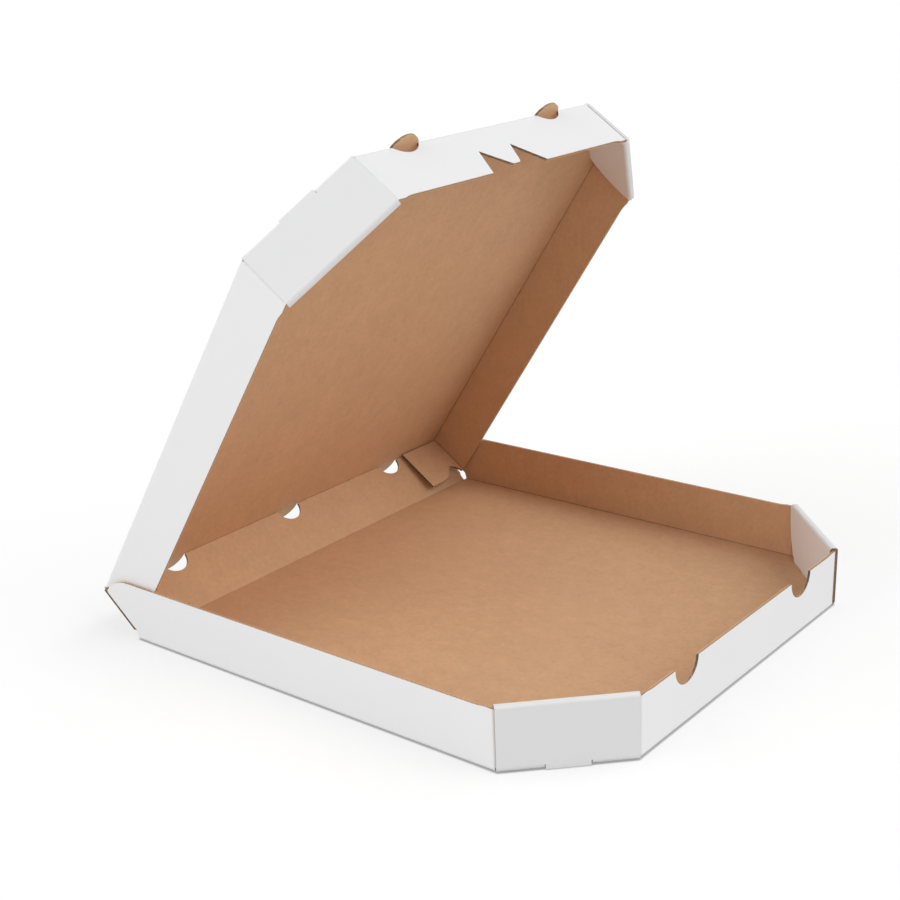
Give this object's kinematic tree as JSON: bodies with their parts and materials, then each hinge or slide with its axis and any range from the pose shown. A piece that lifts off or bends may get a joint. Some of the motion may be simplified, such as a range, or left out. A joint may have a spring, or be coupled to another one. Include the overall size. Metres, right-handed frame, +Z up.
{
  "type": "pizza box",
  "caption": "Open pizza box of thin corrugated board: a shallow square tray with cut, rolled front corners, a leaning back wall and a lid on creases.",
  "frame": {"origin": "middle of the base's underside, on the surface that the box stands on", "axes": "+X to the box's right seen from its front, +Y to the rear where the back wall is, +Z up"},
  "size_m": [0.3316, 0.3661, 0.3],
  "materials": {
    "board": "matte"
  },
  "bodies": {
    "tray": {"tray": "board"},
    "back_wall": {"back_wall": "board"},
    "lid": {"lid": "board"}
  },
  "joints": [
    {"name": "back_wall_hinge", "type": "hinge", "parent": "tray", "child": "back_wall", "pos_m": [0, 0.16425, 0.00075], "axis": [-1, 0, 0], "range_deg": [-50, 25]},
    {"name": "lid_hinge", "type": "hinge", "parent": "back_wall", "child": "lid", "pos_m": [0, 0.19413, 0.02582], "axis": [-1, 0, 0], "range_deg": [-6, 95]}
  ]
}
